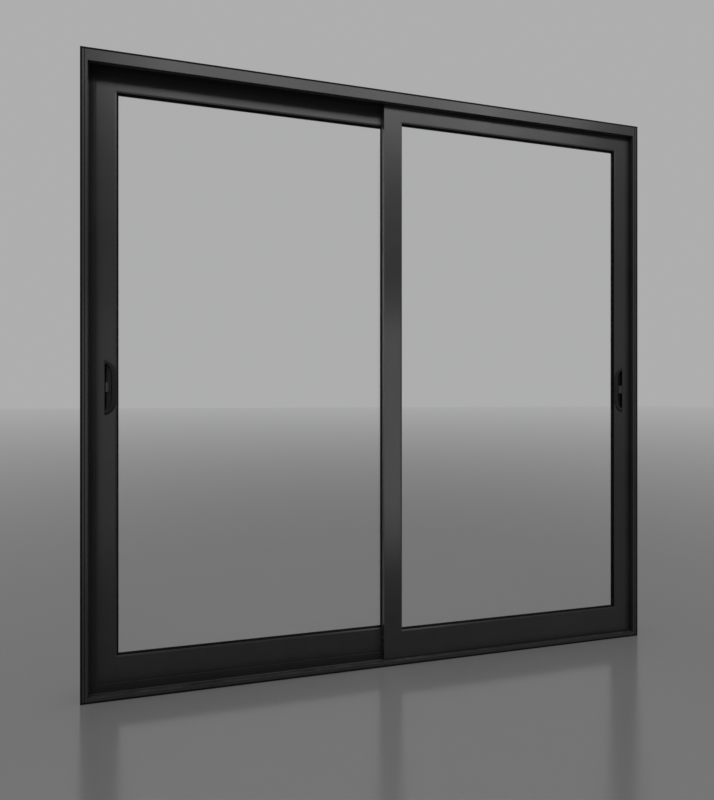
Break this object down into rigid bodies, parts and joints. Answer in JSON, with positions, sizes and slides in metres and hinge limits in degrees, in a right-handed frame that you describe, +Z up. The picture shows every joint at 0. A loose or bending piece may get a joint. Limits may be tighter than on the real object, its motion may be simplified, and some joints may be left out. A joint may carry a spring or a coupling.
{
  "type": "two-panel sliding patio door",
  "caption": "Sliding patio door in a dark metal frame: glazed panels roll past each other on sill tracks, each with a flush pull and a thumb lever.",
  "frame": {"origin": "middle of the sill's underside", "axes": "+X to the right seen from the front, +Y to the back, +Z up"},
  "size_m": [2.09, 0.099, 2.1],
  "materials": {
    "frame_coat": "charcoal powder coat, satin",
    "sash_coat": "charcoal powder coat, satin",
    "clear_glass": "clear toughened",
    "black_rubber": "matt",
    "pile": "fine pile",
    "track_coat": "black anodised",
    "lock_steel": "zinc plated",
    "pull_coat": "black gloss coat",
    "lever_metal": "black satin coat",
    "nylon": "moulded"
  },
  "bodies": {
    "frame": {"back_edge_seal": "black_rubber", "front_edge_seal": "black_rubber", "front_track_rail": "track_coat", "head": "frame_coat", "head_pile_seals": "pile", "left_jamb": "frame_coat", "left_jamb_bumpers": "black_rubber", "left_jamb_pile_seals": "pile", "left_keeper": "lock_steel", "rear_track_rail": "track_coat", "right_jamb": "frame_coat", "right_jamb_bumpers": "black_rubber", "right_jamb_pile_seals": "pile", "right_keeper": "lock_steel", "sill": "frame_coat"},
    "front_panel": {"front_panel_back_pull": "pull_coat", "front_panel_bottom_rail": "sash_coat", "front_panel_gaskets": "black_rubber", "front_panel_glass": "clear_glass", "front_panel_interlock": "sash_coat", "front_panel_lock_plate": "lock_steel", "front_panel_lock_stile": "sash_coat", "front_panel_meeting_stile": "sash_coat", "front_panel_pull": "pull_coat", "front_panel_roller_frames": "lock_steel", "front_panel_thumb_lever": "lever_metal", "front_panel_top_guides": "nylon", "front_panel_top_rail": "sash_coat", "front_panel_wheels": "nylon"},
    "rear_panel": {"rear_panel_back_pull": "pull_coat", "rear_panel_bottom_rail": "sash_coat", "rear_panel_gaskets": "black_rubber", "rear_panel_glass": "clear_glass", "rear_panel_interlock": "sash_coat", "rear_panel_lock_plate": "lock_steel", "rear_panel_lock_stile": "sash_coat", "rear_panel_meeting_stile": "sash_coat", "rear_panel_pull": "pull_coat", "rear_panel_roller_frames": "lock_steel", "rear_panel_thumb_lever": "lever_metal", "rear_panel_top_guides": "nylon", "rear_panel_top_rail": "sash_coat", "rear_panel_wheels": "nylon"}
  },
  "joints": [
    {"name": "front_slide", "type": "slide", "parent": "frame", "child": "front_panel", "axis": [-1, 0, 0], "range_m": [0, 0.999]},
    {"name": "rear_slide", "type": "slide", "parent": "frame", "child": "rear_panel", "axis": [-1, 0, 0], "range_m": [-0.999, 0]}
  ]
}
